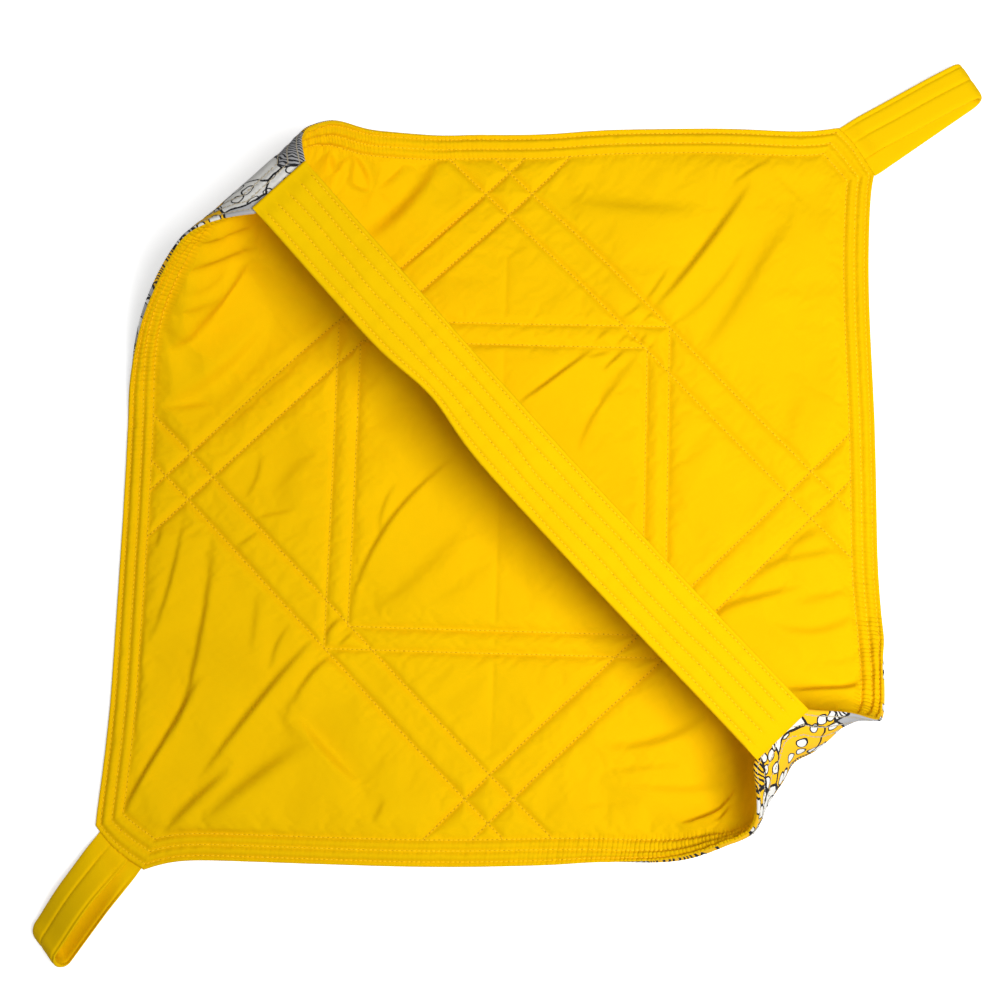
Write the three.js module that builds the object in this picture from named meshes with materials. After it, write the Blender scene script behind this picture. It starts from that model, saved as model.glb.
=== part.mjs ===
// A casserole carrier: a square of quilted cloth that lies flat on a table. A strap joins two of its
// corners, which curl up to it, and a loop handle is sewn to each of the other two.
// Millimetres, Z up. X runs from loop to loop and Y along the strap. The cloth lies on z = 0, with the
// origin under its middle.
import * as THREE from "three";

// The cloth, as it is cut and sewn.
const clothSide = 457.2; // 18 inches from edge to edge
const cornerCut = 29; // leg of the straight cut across each corner
const foldLine = 144; // from the middle to the quilted row on which an end flap folds up
const outerThick = 0.6; // printed cotton
const waddingThick = 3.4; // insulating wadding
const liningThick = 0.6; // plain cotton
const layerGap = 0.3; // between layers of cloth
const cutGap = 0.3; // between pieces that meet at a fold or a seam

// How the strap's two corners stand: a long bend up from the table, then a tight one back to the strap.
const farRise = 74; // radius of the bend up from the table
const farCrest = 25.5; // radius of the bend back at the top
const farLean = 18; // how far the strap's end is pulled towards +X
const nearRise = 42;
const nearCrest = 25;
const nearLean = 10;
const curlDelay = 2.5; // how sharply the curl starts later towards the fold lines, as a power

// The strap, a flat sleeve of cotton round a stiff strip.
const strapWidth = 40;
const strapCloth = 0.6;
const strapCore = 1.8;

// The loop handles, each a narrow sleeve folded back to the seam that it starts from.
const loopWidth = 25.4; // 1 inch
const loopCloth = 0.5;
const loopCore = 1;
const loopSpread = 12.7; // between the middles of the two ends, which are sewn side by side in the seam
const rightLoopReach = 84; // from the seam to the end of the loop
const rightLoopBend = 6; // radius of the turn at the end, to the middle of the sleeve
const rightLoopDrift = 14; // how far the end lies towards -Y
const leftLoopReach = 75;
const leftLoopBend = 10;
const leftLoopDrift = 18;

// How finely the curved cloth is divided.
const riseSteps = 9;
const crestSteps = 6;
const crossSteps = 8;
const loopSteps = 7;
const loopEndSteps = 8;

const quarterTurn = Math.PI / 2;
const halfDiagonal = clothSide / Math.SQRT2;
const seamReach = halfDiagonal - cornerCut / Math.SQRT2; // from the middle to the seam across a corner
const foldEnd = halfDiagonal - foldLine; // half the length of a fold line
const waddingLow = outerThick + layerGap;
const waddingHigh = waddingLow + waddingThick;
const liningLow = waddingHigh + layerGap;
const clothThick = liningLow + liningThick;
const strapThick = strapCore + 2 * (strapCloth + layerGap);
const loopThick = loopCore + 2 * (loopCloth + layerGap);

// The three layers of the quilted cloth, as heights above its underside.
const layers = [
  { name: "outer", low: 0, high: outerThick, color: 0xe4e0d4, roughness: 0.85 },
  { name: "wadding", low: waddingLow, high: waddingHigh, color: 0xf4f1e8, roughness: 1 },
  { name: "lining", low: liningLow, high: clothThick, color: 0xf6c400, roughness: 0.8 },
];
const strapCotton = { color: 0xf8c800, roughness: 0.78 };
const stiffener = { color: 0xf0ede4, roughness: 1 };

const carrier = new THREE.Group();

function addPiece(name, geometry, finish) {
  const material = new THREE.MeshStandardMaterial({
    color: finish.color,
    roughness: finish.roughness,
    metalness: 0,
  });
  const piece = new THREE.Mesh(geometry, material);
  piece.name = name;
  carrier.add(piece);
}

function closedGeometry(points, triangles) {
  const geometry = new THREE.BufferGeometry().setFromPoints(points);
  geometry.setIndex(triangles);
  geometry.computeVertexNormals();
  return geometry;
}

// A strap corner: where its curl starts, where the bend back starts on the flat cloth, and its seam.
function curledCorner(rise, crest, lean) {
  const length = quarterTurn * (rise + crest);
  const start = seamReach - length;
  return {
    rise,
    crest,
    lean,
    length,
    start,
    crestLine: start + quarterTurn * rise,
    seam: start + rise - crest,
    top: rise + crest,
  };
}
const farCorner = curledCorner(farRise, farCrest, farLean);
const nearCorner = curledCorner(nearRise, nearCrest, nearLean);

// Where a point of the flat cloth lies once its corners are curled, at a height above the underside.
// The curl rolls the cloth round two circles without stretching it, and starts later beside the folds.
function clothPoint(x, y, height) {
  const curl = y < 0 ? nearCorner : farCorner;
  const late = Math.max(0, foldEnd - curl.start) * (Math.abs(x) / foldLine) ** curlDelay;
  const start = curl.start + late;
  const along = Math.max(0, Math.abs(y) - start);
  const backAlong = along - quarterTurn * curl.rise;
  const sideways = x + curl.lean * (along / curl.length) ** 2;
  if (backAlong <= 0) {
    const turn = along / curl.rise;
    const outward = Math.min(Math.abs(y), start) + (curl.rise - height) * Math.sin(turn);
    const up = curl.rise - (curl.rise - height) * Math.cos(turn);
    return new THREE.Vector3(sideways, Math.sign(y) * outward, up);
  }
  const turn = backAlong / curl.crest;
  const outward = start + curl.rise - curl.crest + (curl.crest - height) * Math.cos(turn);
  const up = curl.rise + (curl.crest - height) * Math.sin(turn);
  return new THREE.Vector3(sideways, Math.sign(y) * outward, up);
}

// One layer of the cloth between two heights, over rows of flat points. Seen from above, each row runs
// to the right when the next row lies beyond it.
function clothLayer(rows, low, high) {
  const columns = rows[0].length;
  const points = rows.flat().flatMap(([x, y]) => [clothPoint(x, y, low), clothPoint(x, y, high)]);
  const under = (row, column) => 2 * (row * columns + column);
  const over = (row, column) => under(row, column) + 1;
  const triangles = [];
  const quad = (a, b, c, d) => triangles.push(a, b, c, a, c, d);
  const lastRow = rows.length - 1;
  const lastColumn = columns - 1;
  const edge = (fromRow, fromColumn, toRow, toColumn) => {
    const from = [fromRow, fromColumn];
    const to = [toRow, toColumn];
    quad(under(...from), under(...to), over(...to), over(...from));
  };
  for (let row = 0; row < lastRow; row += 1) {
    for (let column = 0; column < lastColumn; column += 1) {
      quad(over(row, column), over(row, column + 1), over(row + 1, column + 1), over(row + 1, column));
      quad(under(row, column), under(row + 1, column), under(row + 1, column + 1), under(row, column + 1));
    }
    edge(row, lastColumn, row + 1, lastColumn);
    edge(row + 1, 0, row, 0);
  }
  for (let column = 0; column < lastColumn; column += 1) {
    edge(0, column, 0, column + 1);
    edge(lastRow, column + 1, lastRow, column);
  }
  return closedGeometry(points, triangles);
}

// Even steps from low to high, with the stops that fall between them added.
function evenSteps(low, high, count, stops = []) {
  const steps = Array.from({ length: count + 1 }, (_, k) => low + ((high - low) * k) / count);
  const extra = stops.filter((stop) => stop > low && stop < high && !steps.includes(stop));
  return [...steps, ...extra].sort((a, b) => a - b);
}

// Rows across the strap: at each Y the cloth runs from edge to edge, or from fold to fold.
function crossRows(ys, columns) {
  return ys.map((y) => {
    const half = Math.min(foldLine - cutGap / 2, halfDiagonal - Math.abs(y));
    return evenSteps(-half, half, columns).map((x) => [x, y]);
  });
}

// A region of the cloth has its outer, its wadding and its lining.
function addLayers(region, rows) {
  for (const layer of layers) {
    addPiece(layer.name + "_" + region, clothLayer(rows, layer.low, layer.high), layer);
  }
}

// The centre of the cloth lies flat between the two folds and the two curled corners.
const centreLow = cutGap / 2 - nearCorner.start;
const centreHigh = farCorner.start - cutGap / 2;
addLayers("centre", crossRows(evenSteps(centreLow, centreHigh, 1, [-foldEnd, foldEnd]), 1));

// Each strap corner rises as a wall from the centre to its crest, and turns back there to the strap.
for (const [end, curl, direction] of [
  ["far", farCorner, 1],
  ["near", nearCorner, -1],
]) {
  const wallLow = curl.start + cutGap / 2;
  const wallHigh = curl.crestLine - cutGap / 2;
  const crestLow = curl.crestLine + cutGap / 2;
  const upwards = (steps) => steps.map((step) => direction * step).sort((a, b) => a - b);
  const wallRows = upwards(evenSteps(wallLow, wallHigh, riseSteps, [foldEnd]));
  const crestRows = upwards(evenSteps(crestLow, seamReach, crestSteps));
  addLayers(end + "_wall", crossRows(wallRows, crossSteps));
  addLayers(end + "_crest", crossRows(crestRows, crossSteps));
}

// The two end flaps lie flat beyond the folds and narrow to the seams of the loops.
for (const [end, side] of [
  ["right", 1],
  ["left", -1],
]) {
  const xs = [side * (foldLine + cutGap / 2), side * seamReach].sort((a, b) => a - b);
  const rows = xs.map((x) => {
    const half = halfDiagonal - Math.abs(x);
    return [
      [x, half],
      [x, -half],
    ];
  });
  addLayers(end + "_flap", rows);
}

// A flat band carried along stations. A wall thickness makes it a sleeve that is open at both ends.
function band(stations, width, thick, wall = 0) {
  const points = [];
  const ring = (station, inset) => {
    for (const [acrossSign, upSign] of [[-1, -1], [1, -1], [1, 1], [-1, 1]]) {
      const point = station.centre.clone();
      point.addScaledVector(station.across, acrossSign * (width / 2 - inset));
      point.addScaledVector(station.up, upSign * (thick / 2 - inset));
      points.push(point);
    }
  };
  const rings = wall > 0 ? [0, wall] : [0];
  for (const station of stations) {
    rings.forEach((inset) => ring(station, inset));
  }
  const stride = 4 * rings.length;
  const last = (stations.length - 1) * stride;
  const triangles = [];
  const quad = (a, b, c, d) => triangles.push(a, b, c, a, c, d);
  for (let k = 0; k < 4; k += 1) {
    const next = (k + 1) % 4;
    for (let base = 0; base < last; base += stride) {
      quad(base + k, base + stride + k, base + stride + next, base + next);
      if (wall > 0) {
        quad(base + 4 + next, base + stride + 4 + next, base + stride + 4 + k, base + 4 + k);
      }
    }
    if (wall > 0) {
      quad(k, next, 4 + next, 4 + k);
      quad(last + next, last + k, last + 4 + k, last + 4 + next);
    }
  }
  if (wall === 0) {
    quad(0, 1, 2, 3);
    quad(last + 3, last + 2, last + 1, last);
  }
  return closedGeometry(points, triangles);
}

// The strap runs straight from the seam of one corner to the seam of the other.
const strapEnd = (curl, direction) => ({
  centre: new THREE.Vector3(curl.lean, direction * (curl.seam - cutGap), curl.top - clothThick / 2),
  across: new THREE.Vector3(1, 0, 0),
  up: new THREE.Vector3(0, 0, 1),
});
const strapStations = [strapEnd(nearCorner, -1), strapEnd(farCorner, 1)];
const strapCoreWidth = strapWidth - 2 * (strapCloth + layerGap);
addPiece("strap_sleeve", band(strapStations, strapWidth, strapThick, strapCloth), strapCotton);
addPiece("strap_interlining", band(strapStations, strapCoreWidth, strapCore), stiffener);

// A loop lies as a teardrop: out along the table, round its end and back down to the seam, where its
// first end lies half under its last. It drifts sideways on the way out, and turns with the drift.
function loopStations(side, reach, bend, drift) {
  const low = loopThick / 2;
  const rootHigh = low + loopThick + layerGap;
  const endHigh = low + 2 * bend;
  const straight = reach - bend - loopThick / 2;
  const outSteps = evenSteps(0, straight, loopSteps);
  const goingOut = outSteps.map((x) => [x, low]);
  const comingBack = outSteps.map((x) => {
    return [x, rootHigh + (endHigh - rootHigh) * THREE.MathUtils.smoothstep(x, 0, straight)];
  });
  const round = evenSteps(-quarterTurn, quarterTurn, loopEndSteps).slice(1, -1);
  const turning = round.map((a) => [straight + bend * Math.cos(a), low + bend + bend * Math.sin(a)]);
  const path = [...goingOut, ...turning, ...comingBack.reverse()];
  return path.map(([x, z], k) => {
    const before = path[Math.max(0, k - 1)];
    const after = path[Math.min(path.length - 1, k + 1)];
    const atSeam = k === 0 || k === path.length - 1;
    const alongX = after[0] - before[0];
    const alongZ = atSeam ? 0 : after[1] - before[1];
    const swing = Math.atan(drift / reach) * Math.min(1, x / loopWidth);
    const toEnd = Math.min(1, x / straight);
    const spread = (k < path.length / 2 ? -1 : 1) * (loopSpread / 2) * (1 - toEnd);
    const y = spread - (drift * x) / reach;
    return {
      centre: new THREE.Vector3(side * (seamReach + cutGap + x), y, z),
      across: new THREE.Vector3(Math.sin(swing), side * Math.cos(swing), 0),
      up: new THREE.Vector3(side * alongZ, 0, -alongX).normalize(),
    };
  });
}

const loopCoreWidth = loopWidth - 2 * (loopCloth + layerGap);
for (const [end, side, reach, bend, drift] of [
  ["right", 1, rightLoopReach, rightLoopBend, rightLoopDrift],
  ["left", -1, leftLoopReach, leftLoopBend, leftLoopDrift],
]) {
  const stations = loopStations(side, reach, bend, drift);
  addPiece(end + "_loop_sleeve", band(stations, loopWidth, loopThick, loopCloth), strapCotton);
  addPiece(end + "_loop_interlining", band(stations, loopCoreWidth, loopCore), stiffener);
}

export default carrier;
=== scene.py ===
import bpy
import numpy as np
from mathutils import Matrix, Vector


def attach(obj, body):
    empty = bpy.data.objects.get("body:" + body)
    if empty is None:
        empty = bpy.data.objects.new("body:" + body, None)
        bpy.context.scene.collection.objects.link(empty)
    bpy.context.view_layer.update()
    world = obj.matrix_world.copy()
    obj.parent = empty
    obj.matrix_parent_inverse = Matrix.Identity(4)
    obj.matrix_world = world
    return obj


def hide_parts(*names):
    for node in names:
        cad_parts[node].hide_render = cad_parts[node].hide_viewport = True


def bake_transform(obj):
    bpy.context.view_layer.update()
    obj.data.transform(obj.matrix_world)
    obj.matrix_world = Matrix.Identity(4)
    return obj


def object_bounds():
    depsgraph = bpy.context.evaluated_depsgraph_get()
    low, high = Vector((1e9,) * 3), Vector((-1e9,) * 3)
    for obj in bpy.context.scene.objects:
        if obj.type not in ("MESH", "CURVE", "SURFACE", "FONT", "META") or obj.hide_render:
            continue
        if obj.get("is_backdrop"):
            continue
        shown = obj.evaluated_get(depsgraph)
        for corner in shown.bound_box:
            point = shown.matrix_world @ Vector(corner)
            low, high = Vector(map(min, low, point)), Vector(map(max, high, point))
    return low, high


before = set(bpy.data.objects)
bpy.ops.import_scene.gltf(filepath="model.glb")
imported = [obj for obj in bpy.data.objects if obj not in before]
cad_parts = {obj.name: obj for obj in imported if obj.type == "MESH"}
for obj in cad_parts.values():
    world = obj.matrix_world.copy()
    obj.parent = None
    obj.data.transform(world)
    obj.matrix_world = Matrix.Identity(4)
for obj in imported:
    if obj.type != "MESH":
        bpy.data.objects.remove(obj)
cad_box = [list(corner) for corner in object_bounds()]
mm = 0.001

# The lining
# One square of plain yellow cotton, 18 inches a side, with its corners cut off. It is sewn to the outer round
# its edge and turned, so that the edge is a soft fold, and then quilted through the wadding in rows.
cloth_side = 457.2 * mm
corner_cut = 29 * mm
root_two = 2**0.5
quarter_turn = np.pi / 2
half_side = cloth_side / 2
half_diagonal = cloth_side / root_two
seam_reach = half_diagonal - corner_cut / root_two
fold_line = 144 * mm
fold_end = half_diagonal - fold_line

# The strap's corners curl up from the table in a wide bend, then turn back to the strap in a tight one.
far_rise, far_crest, far_lean = 74 * mm, 25.5 * mm, 18 * mm
near_rise, near_crest, near_lean = 42 * mm, 25 * mm, 10 * mm
curl_delay = 2.5
near_delay = 22 * mm

# Places round the near corner's strap end where the curl starts later, so that the wall bulges, or sooner
# where the depth is negative: X, half length and depth in mm.
near_bulges = (
    (-38, 15, 8),
    (5, 10, -4),
    (72, 17, 23),
)

# Where the curls start, measured out from the middle.
far_start = seam_reach - quarter_turn * (far_rise + far_crest)
near_start = seam_reach - quarter_turn * (near_rise + near_crest)

# Stretches of the edge that the sewing draws in, or lets out where the depth is negative: the edge, and the
# stretch's middle, half length and depth in mm.
drawn_edges = (
    ("upper", -62, 70, 8),
    ("upper", 18, 36, 3),
    ("upper", -98, 24, 3),
    ("upper", 122, 36, -1.5),
    ("upper", -165, 30, 5),
    ("upper", 214, 24, -5.5),
    ("lower", 72, 74, 5),
    ("lower", -222, 28, -13),
    ("right", 140, 85, 5),
    ("right", 226, 22, -7),
    ("right", -118, 50, -6.5),
    ("left", -205, 40, -4),
    ("left", 85, 45, -3.5),
)

# Stretches where the outer wraps up round the edge: the edge, and the stretch's middle and half length in mm.
wrapped_edges = (
    ("left", 105, 44),
    ("lower", 100, 50),
    ("right", -120, 26),
)
wrap_width = 2.4 * mm
wrap_rise = 1.6 * mm
wrap_fade = (half_side - 30 * mm, half_side - 20 * mm)

# Sewn rows: the hem's from the edge, the square's and the diamond's from the middle.
hem_rows = np.array([3, 9.35, 15.7]) * mm
square_rows = np.array([88.2, 101.9]) * mm
diamond_rows = np.array([123.6, 143.9]) * mm

# Heights above the table: the seam at the edge, a sewn row, the hem between rows and the open quilting.
rim_height = 2.1 * mm
sewn_height = 2.8 * mm
hem_height = 5.2 * mm
loft_height = 5.9 * mm
edge_roll = 2.4 * mm
row_softness = 2.5 * mm
row_round = 0.5 * mm

# Folds in the lining: start and end to the right and up from the middle, bow of the line to its left, depth
# and half width, all in mm. At a fold the cloth dips on the line's left and stands up on its right, or the
# other way round where the depth is negative, as it is on the far wall.
lining_folds = (
    ((-216, 149), (-172, 162), 2.9, -1.5, 3.8),
    ((-212, 133), (-162, 147), 0.4, -1.8, 4.2),
    ((-212, 118), (-178, 136), -6.2, -0.8, 4.6),
    ((-210, 105), (-179, 115), -2.7, -1, 4.2),
    ((-207, 83), (-188, 88), -1.8, -1, 4),
    ((-196, 83), (-164, 140), -3.6, -3, 5.4),
    ((-205, 44), (-143, 104), -7.2, -2, 5),
    ((-208, 40), (-176, 46), 0.4, 0.6, 2.8),
    ((-94, 155), (-43, 218), -5.8, 2.3, 5.4),
    ((-89, 191), (-105, 213), -1.6, 1.5, 2.2),
    ((-116, 182), (-108, 209), -0.8, 0.9, 2),
    ((-118, 196), (-124, 210), -0.5, 1.1, 2),
    ((-85, 190), (-65, 211), -0.3, 1.5, 3.6),
    ((-107, 193), (-87, 191), -1, 0.9, 2.2),
    ((63, -158), (126, -136), -6.4, 1.2, 3.4),
    ((65, -175), (118, -166), 1.1, 0.7, 2.8),
    ((70, -180), (138, -179), -1.4, 0.8, 3.2),
    ((49, -194), (93, -188), -2, 0.3, 2.4),
    ((113, -204), (147, -182), -5, 0.9, 1.8),
    ((139, -204), (145, -193), -0.2, 0.5, 1.5),
    ((124, -73), (184, -55), 0.2, 1, 2.6),
    ((172, -68), (218, -56), 0.3, 0.9, 3.6),
    ((144, -52), (212, -34), 3.9, 0.9, 3.6),
    ((166, -32), (204, -13), -3.1, 0.6, 3.2),
    ((160, -79), (216, -69), -8, 0.9, 3.2),
    ((167, -119), (228, -109), -2.9, 1.6, 2.4),
    ((179, -101), (219, -95), -2.5, 0.5, 3.2),
    ((-207, -103), (-190, -16), -3.1, 0.6, 1.6),
    ((-190, -163), (-172, -30), -4.4, 0.8, 2),
    ((-217, -198), (-174, -119), -0.8, 1.3, 2.3),
    ((-213, -189), (-215, -43), 1.2, 0.8, 2.2),
    ((-206, -45), (-204, -31), 0, 0.4, 1.3),
    ((-172, -184), (-106, -94), 2.6, 1.1, 2.3),
    ((-191, -216), (-150, -172), 1.1, 1.3, 3.2),
    ((-118, -136), (-92, -103), 3.9, 0.8, 2),
    ((-125, -148), (-116, -126), -0.5, 0.45, 3),
    ((-169, -211), (-110, -158), 2.5, 1.5, 4.6),
    ((-115, -143), (-74, -183), -1.8, 1.2, 2.4),
    ((-68, -204), (-61, -188), -0.5, 0.45, 2),
    ((-133, -116), (-123, -88), 2.2, 0.4, 1.5),
    ((-145, -108), (-143, -68), 0, 0.3, 2),
    ((-87, -76), (-27, 17), 10.1, 0.7, 1.6),
    ((-72, -32), (-63, 0), 2.4, 0.4, 1.4),
    ((-83, -86), (-16, -21), -4.4, 0.65, 5),
    ((-41, -76), (3, -42), -2.1, 0.45, 5),
    ((-154, -13), (-146, 16), -2.2, 0.4, 1.6),
    ((-148, -24), (-123, -19), -0.4, 0.3, 1.3),
    ((-159, -43), (-144, -32), -0.7, 0.35, 1.4),
    ((-138, -12), (-108, 22), 2.3, 0.4, 4),
    ((-104, -96), (-91, -82), 0.4, 0.6, 1.5),
    ((-95, -102), (-83, -90), 0, 0.5, 1.4),
    ((10, 51), (54, 86), -0.4, 0.8, 1.4),
    ((51, 80), (66, 85), 0.3, 0.35, 1.3),
    ((61, 72), (75, 87), 0.4, 0.55, 1.3),
    ((47, 21), (72, 67), 3.2, 0.4, 1.6),
    ((58, 51), (84, 83), 1.3, 0.5, 3.4),
    ((90, 110), (152, 194), -2.3, 1.1, 2.3),
    ((84, 114), (101, 139), -0.5, 0.35, 1.3),
    ((104, 101), (151, 158), -4.6, 0.35, 2.2),
    ((121, 81), (184, 182), -0.3, 0.55, 4),
    ((139, 192), (161, 209), 0.4, 0.4, 1.7),
    ((27, 184), (123, 176), -2.2, 0.8, 5),
    ((172, 29), (185, 67), -0.8, 0.35, 4),
    ((55, 91), (64, 99), -0.3, 0.35, 1.3),
    ((68, 88), (77, 98), -0.4, 0.4, 1.3),
    ((75, 89), (83, 98), -0.3, 0.4, 1.3),
    ((80, 88), (88, 97), -0.3, 0.4, 1.3),
    ((72, 106), (84, 116), -0.8, 0.4, 1.3),
    ((82, 102), (92, 111), -0.4, 0.4, 1.3),
)
fold_strength = 3.6
fold_riser = 0.85
fold_shoulder = 4.5
fold_fullness = 0.8
lattice_count = 97


def ease(value, low, high):
    """0 up to low and 1 from high on, with a smooth S curve between."""
    share = np.clip((value - low) / (high - low), 0, 1)
    return share * share * (3 - 2 * share)


def raised(least, share):
    """The share, lifted towards 1: 0 becomes the least, and 1 stays 1."""
    return least + (1 - least) * share


def diagonals(across, up):
    """The same flat place measured along X and Y, which run along the cloth's diagonals."""
    return (across + up) / root_two, (up - across) / root_two


def rumple(across, up, size, seed):
    """Smooth noise from -1 to 1: seeded heights on a lattice of that size, eased from point to point."""
    lattice = np.random.default_rng(seed).uniform(-1, 1, (lattice_count, lattice_count))
    left = np.floor(across / size).astype(int)
    below = np.floor(up / size).astype(int)
    rightward = ease(across / size - left, 0, 1)
    upward = ease(up / size - below, 0, 1)
    corner = lambda row, column: lattice[row % lattice_count, column % lattice_count]
    low = corner(below, left) * (1 - rightward) + corner(below, left + 1) * rightward
    high = corner(below + 1, left) * (1 - rightward) + corner(below + 1, left + 1) * rightward
    return low + (high - low) * upward


def edge_distance(across, up):
    """Distance to the nearest side or cut corner of the flat cloth."""
    x, y = diagonals(across, up)
    to_side = half_side - np.maximum(np.abs(across), np.abs(up))
    to_cut = seam_reach - np.maximum(np.abs(x), np.abs(y))
    return np.minimum(to_side, to_cut)


def nearest(value, rows):
    """Distance from each value to the nearest of the rows."""
    return np.abs(value[..., None] - rows).min(-1)


def row_distance(across, up):
    """Distance to the nearest sewn row. The square's and the diamond's rows stop at the hem's inner row."""
    x, y = diagonals(across, up)
    edge = edge_distance(across, up)
    hem = nearest(edge, hem_rows)
    square = nearest(np.maximum(np.abs(across), np.abs(up)), square_rows)
    diamond = np.minimum(nearest(np.abs(x), diamond_rows), nearest(np.abs(y), diamond_rows))
    field = np.minimum(hem, np.minimum(square, diamond))
    return np.where(edge > hem_rows[-1], field, hem)


def fold_height(across, up, start, end, bow, depth, width):
    """Height of one fold along a line bowed like a parabola: a steep riser from below the cloth on the line's
    left to above it on its right, and a long shoulder on both sides. It grows from one end and dies away at
    the other."""
    run_across, run_up = (end[0] - start[0]) * mm, (end[1] - start[1]) * mm
    length = np.hypot(run_across, run_up)
    from_across, from_up = across - start[0] * mm, up - start[1] * mm
    share = np.clip((from_across * run_across + from_up * run_up) / length**2, 0, 1)
    aside = (from_across * run_up - from_up * run_across) / length
    spread = (aside + 4 * bow * mm * share * (1 - share)) / (width * mm)
    grown = fold_strength * depth * mm * np.sin(np.pi * share) ** fold_fullness
    return grown * np.tanh(fold_riser * spread) * np.exp(-np.abs(spread) / fold_shoulder)


# Puckers along the sewn rows: how far they stand up, their length, their reach away from a row, and how much
# closer the hem's lie across it than along it. Then, each with its least share, the size of stronger patches
# and how far out along Y the hem is pulled harder.
hem_pucker, hem_pucker_size, hem_pucker_reach = 0.7 * mm, 3.4 * mm, 9 * mm
row_pucker, row_pucker_size, row_pucker_reach = 0.32 * mm, 4.2 * mm, 4 * mm
hem_pucker_closer = 0.25
hem_patch_size, least_hem_patch = 31 * mm, 0.7
row_patch_size, least_row_patch = 45 * mm, 0.6
corner_pull, least_pull = (150 * mm, 215 * mm), 0.3


def gathers(across, up):
    """Puckers across the sewn rows: noise that runs along a row and fades away from it. They are strongest in
    the hem beside the curled corners."""
    x, y = diagonals(across, up)
    edge = edge_distance(across, up)
    along_side = np.where(np.abs(across) > np.abs(up), up, across)
    along_diagonal = np.where(np.abs(x) > np.abs(y), y, x)
    patchy = raised(least_hem_patch, rumple(along_side, edge * 0, hem_patch_size, 5))
    pulled = raised(least_pull, ease(np.abs(y), *corner_pull))
    hem_fade = 1 - ease(edge, hem_rows[-1], hem_rows[-1] + hem_pucker_reach)
    hem = hem_pucker * rumple(along_side, edge * hem_pucker_closer, hem_pucker_size, 6)
    hem = hem * patchy * pulled * hem_fade
    row = np.exp(-row_distance(across, up) / row_pucker_reach) * (1 - hem_fade)
    uneven = raised(least_row_patch, rumple(across, up, row_patch_size, 9))
    ticks = rumple(along_side, along_diagonal, row_pucker_size, 8) * uneven
    return hem + row_pucker * ticks * row


edge_wave, edge_wave_size, edge_wave_reach = 2.6 * mm, 52 * mm, 48 * mm
edge_wave_end = (200 * mm, 270 * mm)


def standing(across, up):
    """How far the cloth stands off the table along its edge, in slow waves that die away inwards and towards
    the curled corners."""
    _, y = diagonals(across, up)
    by_edge = 1 - ease(edge_distance(across, up), 0, edge_wave_reach)
    by_edge = by_edge * (1 - ease(np.abs(y), *edge_wave_end))
    return edge_wave * by_edge * np.maximum(0, rumple(across, up, edge_wave_size, 3))


draw_start = 0.3 * half_side
edge_ways = {"upper": (0, 1), "lower": (0, -1), "right": (1, 0), "left": (-1, 0)}


def edge_place(edge, across, up):
    """Distances along a named edge from its middle, and out towards it from the cloth's middle."""
    right, above = edge_ways[edge]
    return across * abs(above) + up * abs(right), across * right + up * above


def wrap_share(across, up):
    """How far the outer wraps up round the edge nearby: 1 at the middle of a wrapped stretch, fading out."""
    share = np.zeros(np.shape(across))
    for edge, middle, reach in wrapped_edges:
        along, out = edge_place(edge, across, up)
        stretch = np.exp(-(((along - middle * mm) / (reach * mm)) ** 4))
        share = np.maximum(share, stretch * ease(out, *wrap_fade))
    return share


def tucked(across, up, depth):
    """Flat places drawn in from a wrapped edge: fully at the edge, and not at all from that depth on."""
    pull = wrap_width * wrap_share(across, up) * (1 - ease(edge_distance(across, up), 0, depth))
    sideways = np.abs(across) > np.abs(up)
    return across - np.sign(across) * pull * sideways, up - np.sign(up) * pull * ~sideways


def rolled(across, up, height):
    """A face's height, rolled to the seam at the edge round a quarter circle."""
    inward = np.clip(edge_distance(across, up) / edge_roll, 0, 1)
    seam = rim_height + wrap_rise * wrap_share(across, up)
    return seam + (height - seam) * np.sqrt(1 - (1 - inward) ** 2)


# The open quilting rumples, slowly and a little quickly, and has one crease up the middle from packing.
slow_rumple, slow_size = 1.2 * mm, 38 * mm
quick_rumple, quick_size = 0.15 * mm, 15 * mm
pack_crease, pack_crease_width = 0.7 * mm, 1.2 * mm
hem_roundness = 0.75

# How far from the hem the wadding is full, how far from a row and from the hem the rumples are, the share of
# a fold's height that is left in the hem and on a row, and where it comes back.
loft_reach = 14 * mm
rumple_from_row, rumple_from_hem = 9 * mm, 12 * mm
fold_in_hem, fold_on_row = 0.3, 0.45
fold_hem_fade = (hem_rows[-1] - 3 * mm, hem_rows[-1] + 4 * mm)
fold_row_fade = 3 * mm


def quilted_height(across, up):
    """Height of the lining before it wrinkles: wadding that swells between the sewn rows, rumples, the folds
    and the packing crease."""
    edge = edge_distance(across, up)
    hem_end = hem_rows[-1]
    row = np.hypot(row_distance(across, up), row_round) - row_round
    full = hem_height + (loft_height - hem_height) * ease(edge, hem_end, hem_end + loft_reach)
    open_swell = 1 - np.exp(-row / row_softness)
    hem_swell = np.sin(np.pi * np.minimum(0.5, row / (hem_rows[1] - hem_rows[0]))) ** hem_roundness
    height = sewn_height + (full - sewn_height) * np.where(edge > hem_end, open_swell, hem_swell)
    free = ease(row, 0, rumple_from_row) * ease(edge, hem_end, hem_end + rumple_from_hem)
    slow = slow_rumple * rumple(across, up, slow_size, 1)
    quick = quick_rumple * rumple(across, up, quick_size, 2)
    height += free * (slow + quick)
    folds = sum(fold_height(across, up, *fold) for fold in lining_folds)
    in_field = raised(fold_in_hem, ease(edge, *fold_hem_fade))
    height += folds * in_field * raised(fold_on_row, ease(row, 0, fold_row_fade))
    return height - pack_crease * np.exp(-np.abs(across) / pack_crease_width) * free


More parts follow.
